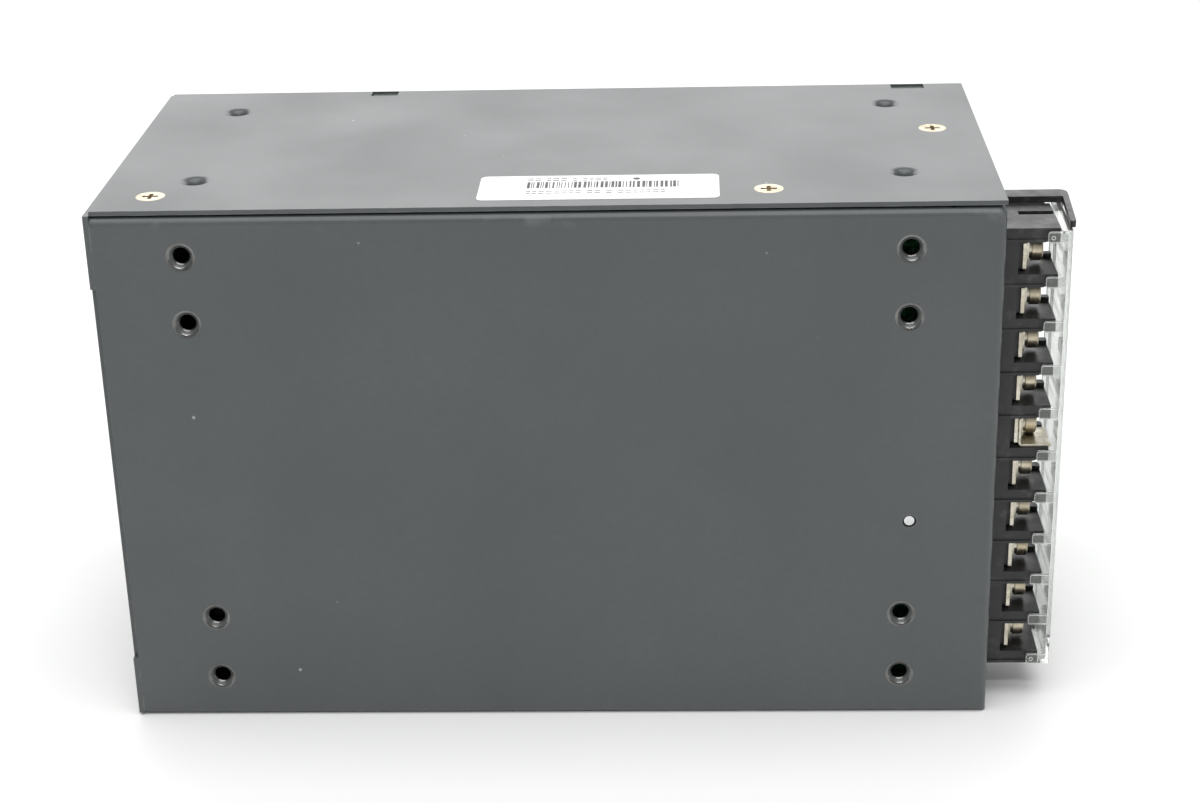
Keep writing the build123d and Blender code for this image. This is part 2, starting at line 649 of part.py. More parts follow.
def power_device(x, z, low):
    """Flat power transistor or rectifier with its leads in the main board."""
    body = block(around(x, 7.8), (BOARD_TOP + low, BOARD_TOP + low + 20.0), z)
    middle = sum(z) / 2
    for step in (-5.4, 0.0, 5.4):
        body += block(around(x + step, 0.6), (BOARD_TOP, BOARD_TOP + low + 0.5), around(middle, 0.4))
    return body


def make_main_board():
    """Circuit board with holes for its screws."""
    board = block(BOARD_X, BOARD_Y, BOARD_Z)
    for x, z in (*STANDOFFS, GROUND_SCREW):
        board -= rod_y(x, z, M3_R + 0.1, (BOARD_Y[0] - 1, BOARD_TOP + 1))
    return board


def make_standoff(x, z):
    """Hexagon pillar between the side wall and the board."""
    pillar = extrude(Plane.XZ * RegularPolygon(3.0, 6), BOARD_Y[0] - WALL_INNER)
    return Pos(x, BOARD_Y[0], z) * pillar - rod_y(x, z, M3_R + 0.05, (WALL_INNER - 1, BOARD_Y[0] + 1))


def make_insulation():
    """Thin sheet on the side wall under the board, cut out round collars and pillars."""
    sheet = block((-66.0, 88.0), (WALL_INNER, WALL_INNER + 0.4), (4.0, 114.0))
    holes = [(TAP_X[1], z) for z in TAP_SIDE_Z]
    for x, z in (*STANDOFFS, GROUND_SCREW, *holes):
        sheet -= rod_y(x, z, 3.6, (WALL_INNER - 1, WALL_INNER + 1))
    return sheet


def make_ground_screw():
    """Screw that clamps the board's earth pad; its tip shows in the side wall."""
    x, z = GROUND_SCREW
    return Pos(x, BOARD_TOP, z) * Rot(-90, 0, 0) * pan_head_screw(BOARD_TOP - NEAR - 0.4)


def make_fuse():
    """Glass tube fuse with two end caps, in one pair of clips."""
    y, z = BOARD_TOP + 4.5, 13.0
    tube = rod_x(y, z, 2.6, (38.0, 58.0))
    for x in ((38.0, 42.0), (54.0, 58.0)):
        tube += rod_x(y, z, 3.0, x)
        tube += block(around(sum(x) / 2, 1.5), (BOARD_TOP, y), around(z, 2.2))
    return tube


def make_transformer_core():
    """Two E-shaped ferrite halves, joined, round a rectangular winding window."""
    core = on_board((-12.0, 30.0), (64.0, 96.0), 24.0)
    for z in ((69.5, 75.0), (85.0, 90.5)):
        core -= on_board((-6.0, 24.0), z, 25.0)
    return core


def make_transformer_winding():
    """Taped winding on the transformer's middle leg, standing proud of the core."""
    winding_block = on_board((-5.8, 23.8), (69.7, 90.3), 30.0)
    return winding_block - on_board((-7.0, 25.0), (74.9, 85.1), 24.2)


save("main_board", make_main_board())
save("board_standoffs", *[make_standoff(x, z) for x, z in (*STANDOFFS, GROUND_SCREW)])
save(
    "board_screws",
    *[Pos(x, BOARD_TOP, z) * Rot(-90, 0, 0) * pan_head_screw(5.5) for x, z in STANDOFFS],
)
save("ground_screw", make_ground_screw())
save("insulation_sheet", make_insulation())
save("input_choke_core", ring_core(63.0, 32.0, 11.0, 6.0, 9.0, 2.0))
save("input_choke_winding", winding(63.0, 32.0, 11.0, 6.0, 9.0, 2.0, 1.5))
save("line_capacitor", on_board((46.0, 71.0), (48.0, 58.0), 18.0))
save("fuse", make_fuse())
save("bridge_rectifier", on_board((30.0, 35.0), (16.0, 38.0), 20.0))
save("bulk_capacitors", can(10.0, 32.0, 15.0, 45.0), can(-24.0, 32.0, 15.0, 45.0))
save("primary_heatsink", heatsink((54.0, 57.0), (56.9, 62.0), (-60.0, 40.0), 52.0))
save("power_transistors", *[power_device(x, (49.0, 53.9), 8.0) for x in (-45.0, -20.0, 8.0)])
save("secondary_heatsink", heatsink((98.0, 101.0), (100.9, 104.0), (-50.0, 56.0), 52.0))
save("output_rectifiers", *[power_device(x, (93.0, 97.9), 8.0) for x in (44.0, -22.0, -40.0)])
save("transformer_core", make_transformer_core())
save("transformer_winding", make_transformer_winding())
save("output_choke_core", ring_core(-40.0, 78.0, 12.0, 6.5, 11.0, 2.0))
save("output_choke_winding", winding(-40.0, 78.0, 12.0, 6.5, 11.0, 2.0, 1.5))
save("output_capacitors", *[can(x, z, 6.2, 25.0) for x in (58.0, 74.0) for z in (68.0, 84.0)])
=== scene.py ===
"""Looks of an enclosed power supply: finishes, threads, guard, fan, label and windings on the CAD frame.

All lengths are metres in the CAD's own frame: +X points towards the terminals, +Z is up, and -Y is
the plain side wall. Places are worked out from the frame's boxes and from the record's mounts.
"""

import json
import math
import random
import bmesh
import bpy
from mathutils import Matrix, Vector


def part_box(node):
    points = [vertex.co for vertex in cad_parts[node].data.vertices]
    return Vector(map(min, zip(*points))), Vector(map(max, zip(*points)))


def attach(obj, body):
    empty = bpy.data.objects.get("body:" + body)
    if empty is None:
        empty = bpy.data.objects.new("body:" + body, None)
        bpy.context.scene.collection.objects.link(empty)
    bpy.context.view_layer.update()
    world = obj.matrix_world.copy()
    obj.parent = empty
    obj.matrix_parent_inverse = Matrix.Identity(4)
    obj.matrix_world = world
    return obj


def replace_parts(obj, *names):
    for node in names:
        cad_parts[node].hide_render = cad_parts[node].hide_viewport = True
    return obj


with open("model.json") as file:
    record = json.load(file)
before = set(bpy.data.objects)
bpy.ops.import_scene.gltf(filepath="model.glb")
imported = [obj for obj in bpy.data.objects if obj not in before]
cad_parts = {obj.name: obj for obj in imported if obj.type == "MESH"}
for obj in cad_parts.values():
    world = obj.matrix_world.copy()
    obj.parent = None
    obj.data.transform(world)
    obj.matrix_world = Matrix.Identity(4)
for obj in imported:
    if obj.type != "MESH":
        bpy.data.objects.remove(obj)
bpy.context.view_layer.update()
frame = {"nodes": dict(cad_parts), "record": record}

NODES = frame["nodes"]
RECORD = frame["record"]
MM = 0.001
CASE_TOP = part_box("cover")[1].z
CASE_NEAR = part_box("chassis")[0].y

# Finishes


class Finish:
    """One procedural material: a Principled shader, and short calls for the nodes that feed it."""

    def __init__(self, name, colour, roughness, **uniform):
        self.material = bpy.data.materials.new(name)
        self.material.use_nodes = True
        self.tree = self.material.node_tree
        self.tree.nodes.clear()
        self.shader = self.node("ShaderNodeBsdfPrincipled")
        output = self.node("ShaderNodeOutputMaterial")
        self.tree.links.new(self.shader.outputs["BSDF"], output.inputs["Surface"])
        self.shader.inputs["Base Color"].default_value = (*colour, 1.0)
        self.shader.inputs["Roughness"].default_value = roughness
        for socket, value in uniform.items():
            self.shader.inputs[socket.replace("_", " ")].default_value = value
        self.place = self.node("ShaderNodeTexCoord").outputs["Object"]
        self.relief = None

    def node(self, kind, **settings):
        made = self.tree.nodes.new(kind)
        for name, value in settings.items():
            setattr(made, name, value)
        return made

    def feed(self, socket, source):
        """Set an input from another node's output, a colour or a number."""
        if isinstance(source, bpy.types.NodeSocket):
            self.tree.links.new(source, socket)
        elif isinstance(source, tuple):
            socket.default_value = (*source, 1.0)
        else:
            socket.default_value = source

    def stretched(self, factors):
        """Object coordinates scaled along each axis, for grain that runs one way."""
        mapping = self.node("ShaderNodeMapping")
        mapping.inputs["Scale"].default_value = factors
        self.feed(mapping.inputs["Vector"], self.place)
        return mapping.outputs["Vector"]

    def noise(self, scale, detail=3.0, place=None):
        made = self.node("ShaderNodeTexNoise")
        self.feed(made.inputs["Vector"], place or self.place)
        made.inputs["Scale"].default_value = scale
        made.inputs["Detail"].default_value = detail
        return made.outputs[0]

    def cells(self, scale):
        made = self.node("ShaderNodeTexVoronoi")
        self.feed(made.inputs["Vector"], self.place)
        made.inputs["Scale"].default_value = scale
        return made

    def bands(self, scale, direction, distortion=0.0):
        made = self.node("ShaderNodeTexWave", bands_direction=direction)
        self.feed(made.inputs["Vector"], self.place)
        made.inputs["Scale"].default_value = scale
        made.inputs["Distortion"].default_value = distortion
        made.inputs["Detail"].default_value = 2.0
        return made.outputs[1]

    def calc(self, operation, first, second=0.0):
        made = self.node("ShaderNodeMath", operation=operation)
        self.feed(made.inputs[0], first)
        self.feed(made.inputs[1], second)
        return made.outputs[0]

    def fade(self, value, start, end, low=0.0, high=1.0):
        """Map a value's stretch from start to end onto low to high, held beyond it."""
        made = self.node("ShaderNodeMapRange")
        for socket, source in zip(made.inputs[:5], (value, start, end, low, high)):
            self.feed(socket, source)
        return made.outputs[0]

    def mix(self, factor, first, second):
        made = self.node("ShaderNodeMix", data_type="RGBA")
        self.feed(made.inputs[0], factor)
        self.feed(made.inputs[6], first)
        self.feed(made.inputs[7], second)
        return made.outputs[2]

    def part(self, name, vector=None):
        """One component of a vector, of the object coordinates if none is given."""
        split = self.node("ShaderNodeSeparateXYZ")
        self.feed(split.inputs[0], vector or self.place)
        return split.outputs[name]

    def edges(self, radius):
        """1 on sharp edges and 0 on flats, from how far a rounded normal turns off the true one."""
        rounded = self.node("ShaderNodeBevel", samples=4)
        rounded.inputs["Radius"].default_value = radius
        true = self.node("ShaderNodeNewGeometry").outputs["True Normal"]
        dot = self.node("ShaderNodeVectorMath", operation="DOT_PRODUCT")
        self.feed(dot.inputs[0], rounded.outputs["Normal"])
        self.feed(dot.inputs[1], true)
        return self.fade(dot.outputs["Value"], 0.86, 0.98, 1.0, 0.0)

    def colour(self, source):
        self.feed(self.shader.inputs["Base Color"], source)

    def rough(self, source):
        self.feed(self.shader.inputs["Roughness"], source)

    def bump(self, height, distance, strength=1.0):
        """Add a layer of relief on top of the layers made before it."""
        made = self.node("ShaderNodeBump")
        made.inputs["Strength"].default_value = strength
        made.inputs["Distance"].default_value = distance
        self.feed(made.inputs["Height"], height)
        if self.relief:
            self.feed(made.inputs["Normal"], self.relief)
        self.relief = made.outputs["Normal"]
        self.feed(self.shader.inputs["Normal"], self.relief)


def case_paint():
    """Dark grey stoved paint on folded sheet: fine orange peel, rub marks, dust and worn edges."""
    base, pale = (0.07, 0.077, 0.08), (0.088, 0.095, 0.098)
    dark, dust = (0.054, 0.06, 0.064), (0.42, 0.43, 0.43)
    paint = Finish("case_paint", base, 0.4, IOR=1.5)
    cloud = paint.fade(paint.noise(22.0, 5.0), 0.35, 0.68, 0.0, 0.55)
    wiped = paint.noise(60.0, 4.0, paint.stretched((1.0, 1.0, 0.06)))
    drag = paint.fade(wiped, 0.4, 0.7, 0.0, 0.16)
    tone = paint.mix(drag, paint.mix(cloud, base, pale), pale)
    tone = paint.mix(paint.fade(paint.noise(900.0, 2.0), 0.3, 0.7, 0.0, 0.22), tone, dark)
    cell = paint.cells(105.0)
    kept = paint.fade(paint.part("X", cell.outputs["Color"]), 0.78, 0.8)
    spot = paint.fade(cell.outputs["Distance"], 0.022, 0.05, 0.75, 0.0)
    speck = paint.calc("MULTIPLY", spot, kept)
    near_top = paint.fade(paint.part("Z"), CASE_TOP - 5.0 * MM, CASE_TOP - 2.8 * MM, 0.0, 0.14)
    near_only = paint.fade(paint.part("Y"), CASE_NEAR + 0.2 * MM, CASE_NEAR + 0.7 * MM, 1.0, 0.0)
    scuffs = paint.fade(paint.noise(95.0, 4.0), 0.56, 0.66)
    rub = paint.calc("MULTIPLY", paint.calc("MULTIPLY", near_top, near_only), scuffs)
    chips = paint.fade(paint.noise(240.0, 4.0), 0.42, 0.62, 0.0, 0.3)
    worn = paint.calc("MULTIPLY", paint.edges(0.35 * MM), chips)
    marks = paint.calc("MAXIMUM", paint.calc("MAXIMUM", rub, worn), speck)
    paint.colour(paint.mix(marks, tone, dust))
    gloss = paint.fade(paint.noise(35.0, 4.0), 0.3, 0.7, 0.3, 0.38)
    paint.rough(paint.calc("ADD", gloss, paint.calc("MULTIPLY", marks, 0.2)))
    paint.bump(paint.noise(1500.0, 2.0), 0.012 * MM, 0.4)
    paint.bump(paint.noise(14.0, 2.0), 0.25 * MM, 0.15)
    return paint.material


def label_face():
    """Matt coated paper: faint fibres, a little soiling and a surface that isn't quite flat."""
    paper = Finish("label_face", (0.86, 0.86, 0.85), 0.5, IOR=1.45)
    grain = paper.noise(700.0, 5.0, paper.stretched((1.0, 0.4, 1.0)))
    fibre = paper.fade(grain, 0.35, 0.7, 0.0, 0.35)
    soil = paper.fade(paper.noise(90.0, 5.0), 0.55, 0.8, 0.0, 0.5)
    clean = paper.mix(fibre, (0.88, 0.88, 0.87), (0.8, 0.8, 0.79))
    paper.colour(paper.mix(soil, clean, (0.66, 0.64, 0.6)))
    paper.rough(paper.fade(paper.noise(240.0), 0.3, 0.7, 0.42, 0.6))
    paper.bump(paper.noise(160.0, 3.0), 0.03 * MM, 0.5)
    return paper.material


def label_ink():
    """Printed black that is a little uneven over the paper."""
    ink = Finish("label_ink", (0.02, 0.02, 0.022), 0.5)
    thin = ink.fade(ink.noise(1800.0, 4.0), 0.4, 0.75)
    ink.colour(ink.mix(thin, (0.015, 0.015, 0.017), (0.12, 0.12, 0.12)))
    ink.rough(ink.fade(ink.noise(600.0), 0.3, 0.7, 0.4, 0.65))
    ink.bump(ink.noise(2500.0, 2.0), 0.004 * MM, 0.5)
    return ink.material


def plated(name, bright, stain, low, high, grain):
    """Plated metal: clouded colour with dull spots, and fine scratches along a grain direction."""
    metal = Finish(name, bright, low, Metallic=1.0)
    cloud = metal.fade(metal.noise(420.0, 4.0), 0.38, 0.7)
    spots = metal.fade(metal.noise(1500.0, 3.0), 0.62, 0.72, 0.0, 0.6)
    dull = tuple(0.55 * value for value in stain)
    metal.colour(metal.mix(spots, metal.mix(cloud, bright, stain), dull))
    metal.rough(metal.fade(metal.noise(900.0, 4.0, metal.stretched(grain)), 0.3, 0.7, low, high))
    metal.bump(metal.noise(2600.0, 3.0, metal.stretched(grain)), 0.01 * MM, 0.6)
    return metal.material


def moulded(name, colour, low, high, dust=0.12):
    """Moulded plastic: fine spark texture, slow flow marks, and dust that lightens it a little."""
    plastic = Finish(name, colour, low, IOR=1.48)
    streaks = plastic.noise(55.0, 3.0, plastic.stretched((1.0, 0.5, 1.0)))
    flow = plastic.fade(streaks, 0.35, 0.7, 0.0, 0.5)
    lighter = tuple(min(1.0, 1.35 * value + 0.004) for value in colour)
    grey = tuple(min(1.0, value + dust) for value in colour)
    settled = plastic.fade(plastic.noise(380.0, 5.0), 0.55, 0.78, 0.0, 0.5)
    plastic.colour(plastic.mix(settled, plastic.mix(flow, colour, lighter), grey))
    plastic.rough(plastic.fade(plastic.noise(300.0, 4.0), 0.3, 0.7, low, high))
    plastic.bump(plastic.noise(2200.0, 2.0), 0.01 * MM, 0.6)
    plastic.bump(plastic.noise(70.0, 2.0), 0.06 * MM, 0.3)
    return plastic.material


def clear_plastic():
    """Clear moulded cover: slightly milky, with a painted highlight on its edges (whiter and less clear
    there), wiping scratches and faint ripples.
    """
    clear = Finish("clear_plastic", (0.77, 0.79, 0.77), 0.08, IOR=1.49, Transmission_Weight=0.94)
    haze = clear.fade(clear.noise(130.0, 5.0), 0.4, 0.75, 0.0, 0.5)
    # Painted highlight: sharp edges are turned near-white and nearly opaque, standing in for light
    # caught in the clear edges.
    rim = clear.edges(0.3 * MM)
    body = clear.mix(haze, (0.77, 0.79, 0.77), (0.7, 0.72, 0.7))
    clear.colour(clear.mix(rim, body, (0.95, 0.96, 0.94)))
    clear.feed(clear.shader.inputs["Transmission Weight"], clear.fade(rim, 0.0, 1.0, 0.94, 0.1))
    scratch = clear.noise(500.0, 5.0, clear.stretched((1.0, 0.08, 1.0)))
    clear.rough(clear.fade(scratch, 0.45, 0.8, 0.05, 0.3))
    clear.bump(clear.noise(90.0, 2.0), 0.05 * MM, 0.3)
    return clear.material


def lamp_plastic():
    """Green tinted lens of the signal lamp, unlit, with a lightly frosted inside."""
    lens = Finish("lamp_plastic", (0.1, 0.5, 0.16), 0.15, IOR=1.5, Transmission_Weight=0.4)
    cloud = lens.fade(lens.noise(500.0, 3.0), 0.35, 0.7)
    lens.colour(lens.mix(cloud, (0.08, 0.46, 0.14), (0.16, 0.62, 0.24)))
    lens.rough(lens.fade(lens.noise(1200.0, 3.0), 0.3, 0.7, 0.1, 0.28))
    lens.bump(lens.noise(900.0, 2.0), 0.008 * MM, 0.4)
    return lens.material


def board_laminate():
    """Green solder mask over copper tracks, which show as a slight relief and a lighter green."""
    mask = Finish("board_laminate", (0.02, 0.13, 0.05), 0.3, IOR=1.52)
    tracks = mask.calc("MAXIMUM", mask.bands(95.0, "X", 6.0), mask.bands(80.0, "Z", 7.0))
    copper = mask.fade(tracks, 0.86, 0.9)
    weave = mask.fade(mask.noise(1400.0, 3.0), 0.4, 0.7, 0.0, 0.4)
    bare = mask.mix(weave, (0.018, 0.1, 0.04), (0.03, 0.14, 0.06))
    mask.colour(mask.mix(copper, bare, (0.05, 0.26, 0.1)))
    mask.rough(mask.fade(mask.noise(260.0), 0.3, 0.7, 0.22, 0.42))
    mask.bump(copper, 0.035 * MM, 0.8)
    return mask.material


def insulation_film():
    """Milky polyester sheet with faint roller lines."""
    film = Finish("insulation_film", (0.8, 0.79, 0.72), 0.3, IOR=1.55, Transmission_Weight=0.35)
    lines = film.fade(film.noise(80.0, 4.0, film.stretched((1.0, 1.0, 0.05))), 0.35, 0.7)
    film.colour(film.mix(lines, (0.8, 0.79, 0.72), (0.7, 0.69, 0.6)))
    film.rough(film.fade(film.noise(220.0), 0.3, 0.7, 0.2, 0.4))
    film.bump(lines, 0.02 * MM, 0.4)
    return film.material


def ferrite():
    """Sintered ferrite: dull charcoal with open grains and pale ground spots."""
    core = Finish("ferrite", (0.045, 0.045, 0.05), 0.6, IOR=1.6)
    grain = core.cells(1300.0).outputs["Distance"]
    core.colour(core.mix(core.fade(grain, 0.2, 0.7), (0.03, 0.03, 0.034), (0.09, 0.09, 0.095)))
    core.rough(core.fade(core.noise(300.0, 4.0), 0.3, 0.7, 0.45, 0.75))
    core.bump(grain, 0.03 * MM, 0.6)
    return core.material


def copper_wire():
    """Enamelled copper: a warm brown varnish over bright metal."""
    enamel = Finish(
        "copper_wire", (0.72, 0.3, 0.13), 0.22, Metallic=0.9, Coat_Weight=0.6, Coat_Roughness=0.08
    )
    cloud = enamel.fade(enamel.noise(600.0, 4.0), 0.35, 0.7)
    enamel.colour(enamel.mix(cloud, (0.76, 0.33, 0.14), (0.5, 0.17, 0.07)))
    enamel.rough(enamel.fade(enamel.noise(900.0, 3.0), 0.3, 0.7, 0.16, 0.34))
    enamel.bump(enamel.noise(1800.0, 2.0), 0.006 * MM, 0.4)
    return enamel.material


def winding_tape():
    """Yellow polyester tape: overlapping turns show as steps, with varnish pooled between them."""
    tape = Finish("winding_tape", (0.78, 0.6, 0.1), 0.25, IOR=1.55, Coat_Weight=0.3)
    turns = tape.bands(60.0, "Y", 0.6)
    edge = tape.fade(turns, 0.0, 0.12, 1.0, 0.0)
    blotch = tape.fade(tape.noise(180.0, 4.0), 0.4, 0.7, 0.0, 0.6)
    film = tape.mix(blotch, (0.8, 0.62, 0.1), (0.66, 0.44, 0.06))
    tape.colour(tape.mix(edge, film, (0.35, 0.22, 0.03)))
    tape.rough(tape.fade(tape.noise(500.0), 0.3, 0.7, 0.18, 0.36))
    tape.bump(turns, 0.05 * MM, 0.7)
    return tape.material


def capacitor_sleeve():
    """Shrunk PVC sleeve: near-black blue with a plain grey polarity stripe down the can."""
    sleeve = Finish("capacitor_sleeve", (0.015, 0.02, 0.05), 0.28, IOR=1.53)
    stripe = sleeve.fade(sleeve.bands(9.0, "X", 0.0), 0.93, 0.95)
    shrink = sleeve.fade(sleeve.noise(160.0, 4.0, sleeve.stretched((1.0, 0.3, 1.0))), 0.35, 0.7)
    film = sleeve.mix(shrink, (0.012, 0.016, 0.045), (0.03, 0.036, 0.08))
    sleeve.colour(sleeve.mix(stripe, film, (0.4, 0.42, 0.45)))
    sleeve.rough(sleeve.fade(sleeve.noise(420.0), 0.3, 0.7, 0.2, 0.4))
    sleeve.bump(shrink, 0.05 * MM, 0.5)
    return sleeve.material


def fuse_glass():
    """Glass tube under bright caps, told apart by their place along the fuse."""
    low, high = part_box("fuse")
    tube = Finish("fuse_glass", (0.85, 0.9, 0.88), 0.06, IOR=1.5)
    cap = 4.1 * MM
    along = tube.part("X")
    left = tube.fade(along, low.x + cap, low.x + cap + 0.1 * MM, 1.0, 0.0)
    right = tube.fade(along, high.x - cap - 0.1 * MM, high.x - cap, 0.0, 1.0)
    metal = tube.calc("MAXIMUM", left, right)
    tube.feed(tube.shader.inputs["Metallic"], metal)
    tube.feed(tube.shader.inputs["Transmission Weight"], tube.calc("SUBTRACT", 1.0, metal))
    tube.colour(tube.mix(metal, (0.85, 0.9, 0.88), (0.72, 0.71, 0.68)))
    tube.rough(tube.fade(tube.noise(800.0, 3.0), 0.3, 0.7, 0.04, 0.24))
    tube.bump(tube.noise(700.0, 2.0), 0.01 * MM, 0.4)
    return tube.material


def heatsink_metal():
    """Extruded aluminium with die lines along its length."""
    metal = Finish("heatsink_metal", (0.77, 0.78, 0.79), 0.35, Metallic=1.0)
    lines = metal.noise(900.0, 4.0, metal.stretched((0.03, 1.0, 1.0)))
    metal.colour(metal.mix(metal.fade(lines, 0.35, 0.7), (0.8, 0.81, 0.82), (0.6, 0.61, 0.62)))
    metal.rough(metal.fade(lines, 0.3, 0.7, 0.28, 0.5))
    metal.bump(lines, 0.02 * MM, 0.7)
    return metal.material


# Grain directions: coordinates are scaled down along the axes that the scratches follow
ALONG_X, ALONG_Z, ACROSS_X, NO_GRAIN = (0.2, 1.0, 1.0), (1.0, 1.0, 0.3), (1.0, 0.3, 0.3), (1.0, 1.0, 1.0)

FINISHES = {
    "case_paint": case_paint(),
    "label_face": label_face(),
    "nickel_screw": plated("nickel_screw", (0.62, 0.56, 0.44), (0.48, 0.41, 0.28), 0.24, 0.46, ALONG_Z),
    "zinc_screw": plated("zinc_screw", (0.74, 0.75, 0.77), (0.6, 0.61, 0.6), 0.24, 0.46, ALONG_Z),
    "block_plastic": moulded("block_plastic", (0.014, 0.014, 0.015), 0.34, 0.5, 0.09),
    "tinned_metal": plated("tinned_metal", (0.66, 0.63, 0.54), (0.44, 0.4, 0.31), 0.24, 0.5, ALONG_X),
    "clear_plastic": clear_plastic(),
    "lamp_plastic": lamp_plastic(),
    "dial_plastic": moulded("dial_plastic", (0.7, 0.7, 0.68), 0.3, 0.46, 0.02),
    "trimmer_plastic": moulded("trimmer_plastic", (0.03, 0.12, 0.42), 0.3, 0.46, 0.05),
    "fan_plastic": moulded("fan_plastic", (0.018, 0.018, 0.019), 0.38, 0.55, 0.07),
    "guard_wire": plated("guard_wire", (0.72, 0.72, 0.71), (0.56, 0.56, 0.55), 0.18, 0.36, ACROSS_X),
    "board_laminate": board_laminate(),
    "insulation_film": insulation_film(),
    "ferrite": ferrite(),
    "copper_wire": copper_wire(),
    "winding_tape": winding_tape(),
    "capacitor_sleeve": capacitor_sleeve(),
    "film_capacitor": moulded("film_capacitor", (0.72, 0.56, 0.14), 0.3, 0.45, 0.04),
    "fuse_glass": fuse_glass(),
    "heatsink_metal": heatsink_metal(),
    "epoxy": moulded("epoxy", (0.022, 0.022, 0.024), 0.4, 0.6, 0.05),
}
INK = label_ink()
WORN_METAL = plated("worn_metal", (0.19, 0.19, 0.185), (0.12, 0.12, 0.115), 0.14, 0.28, NO_GRAIN)


def finish_nodes():
    """Give every CAD node the finish of its own slot in the record."""
    for row in RECORD["subparts"]:
        node = NODES[row["node"]]
        if not node.material_slots:
            node.data.materials.append(None)
        for place in node.material_slots:
            place.material = FINISHES[row["material_slot"]]


SOFTENED = {
    "terminal_block": 0.18 * MM,
    "terminal_shield": 0.15 * MM,
    "terminal_plates": 0.1 * MM,
    "shield_bracket_top": 0.3 * MM,
    "shield_bracket_bottom": 0.3 * MM,
    "bent_tab": 0.1 * MM,
}


def soften(name, width):
    """Round a CAD node's sharp edges with modifiers, so that they catch the light."""
    weld = NODES[name].modifiers.new("weld", "WELD")
    weld.merge_threshold = 0.002 * MM
    rounding = NODES[name].modifiers.new("rounding", "BEVEL")
    rounding.width = width
    rounding.segments = 2
    rounding.limit_method = "ANGLE"
    rounding.angle_limit = math.radians(50)
    rounding.harden_normals = True


# Mesh helpers

# A radius so small that a turned outline closes on its axis without a zero-width face
ON_AXIS = 0.0001 * MM


def add_piece(name, bm, body, slot, material=None, smooth=True):
    """A piece made from a bmesh, that rides on a body and has its slot's finish or another one."""
    bmesh.ops.recalc_face_normals(bm, faces=bm.faces)
    mesh = bpy.data.meshes.new(name)
    bm.to_mesh(mesh)
    bm.free()
    for face in mesh.polygons:
        face.use_smooth = smooth
    if smooth:
        mesh.set_sharp_from_angle(angle=math.radians(40))
    mesh.materials.append(material or FINISHES[slot])
    piece = bpy.data.objects.new(name, mesh)
    bpy.context.scene.collection.objects.link(piece)
    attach(piece, body)
    return piece


def skin(bm, rings, closed):
    """Join rings of points into a closed tube, or a tube with two end faces."""
    made = [[bm.verts.new(point) for point in ring] for ring in rings]
    count = len(made[0])
    pairs = list(zip(made, made[1:]))
    if closed:
        pairs.append((made[-1], made[0]))
    for one, two in pairs:
        for k in range(count):
            bm.faces.new((one[k], one[(k + 1) % count], two[(k + 1) % count], two[k]))
    if not closed:
        bm.faces.new(made[0])
        bm.faces.new(made[-1])


def wire(bm, path, radius, closed=False, sides=10):
    """A round wire along a path of points, with a normal plane carried along it."""
    rings = []
    count = len(path)
    normal = None
    for i, point in enumerate(path):
        before = path[i - 1] if closed or i else path[i]
        after = path[(i + 1) % count] if closed or i < count - 1 else path[i]
        along = (after - before).normalized()
        if normal is None:
            normal = along.orthogonal().normalized()
        normal = (normal - along * normal.dot(along)).normalized()
        side = along.cross(normal)
        turns = (2 * math.pi * k / sides for k in range(sides))
        rings.append([point + radius * (math.cos(t) * normal + math.sin(t) * side) for t in turns])
    skin(bm, rings, closed)


def turned(bm, outline, place, steps=32):
    """Turn a closed outline of radius and height pairs about the place's Z axis."""
    rings = []
    for k in range(steps):
        spin = place @ Matrix.Rotation(2 * math.pi * k / steps, 4, "Z")
        rings.append([spin @ Vector((radius, 0.0, height)) for radius, height in outline])
    skin(bm, rings, True)


def circle(centre, across, up, radius, count):
    """Points round a centre in the plane of two directions."""
    turns = (2 * math.pi * k / count for k in range(count))
    return [centre + radius * (math.cos(t) * across + math.sin(t) * up) for t in turns]


def slab(bm, low, high):
    """A closed box between two corners."""
    middle = [(a + b) / 2 for a, b in zip(low, high)]
    size = [b - a for a, b in zip(low, high)]
    bmesh.ops.create_cube(bm, size=1.0, matrix=Matrix.LocRotScale(middle, None, size))


# Threads of the tapped holes

TAP_R = 1.65 * MM
MOUTH_R = 1.9 * MM
THREAD_PITCH = 0.7 * MM
THREAD_DEPTH = 0.08 * MM
THREAD_TOP = -1.95 * MM
THREAD_TURNS = 2.6
LINING = 0.03 * MM

# Lip profiles: angles along the mouth's curve, and how many lining thicknesses it stands off it.
# The worn lip is a bare ring near the face, a painted stretch, and two thread crests below.
WORN_LIP = ((76, 0.2), (70, 1.2), (56, 1.2), (50, -1.0), (35, -1.0))
WORN_LIP += ((32, 0.3), (20, 3.0), (19, 0.3), (5, 3.0))
PAINTED_LIP = ((8, 0.3), (5, 1.0))


def hole_places(mount, surface):
    """A matrix at each hole of a bolt pattern, on the outer face, with its Z axis pointing out."""
    axis = Vector(mount["axis"])
    centre = Vector(mount["pos_m"])
    centre += axis * (surface - centre.dot(axis))
    second = Vector((0, 0, 1)) if abs(axis.y) > 0.5 else Vector((0, 1, 0))
    half_first = mount["dims"]["spacing_x_mm"] * MM / 2
    half_second = mount["dims"]["spacing_y_mm"] * MM / 2
    turn = axis.to_track_quat("Z", "Y")
    places = []
    for a, b in ((-1, -1), (-1, 1), (1, -1), (1, 1)):
        spot = centre + Vector((a * half_first, 0, 0)) + b * half_second * second
        places.append(Matrix.LocRotScale(spot, turn, None))
    return places


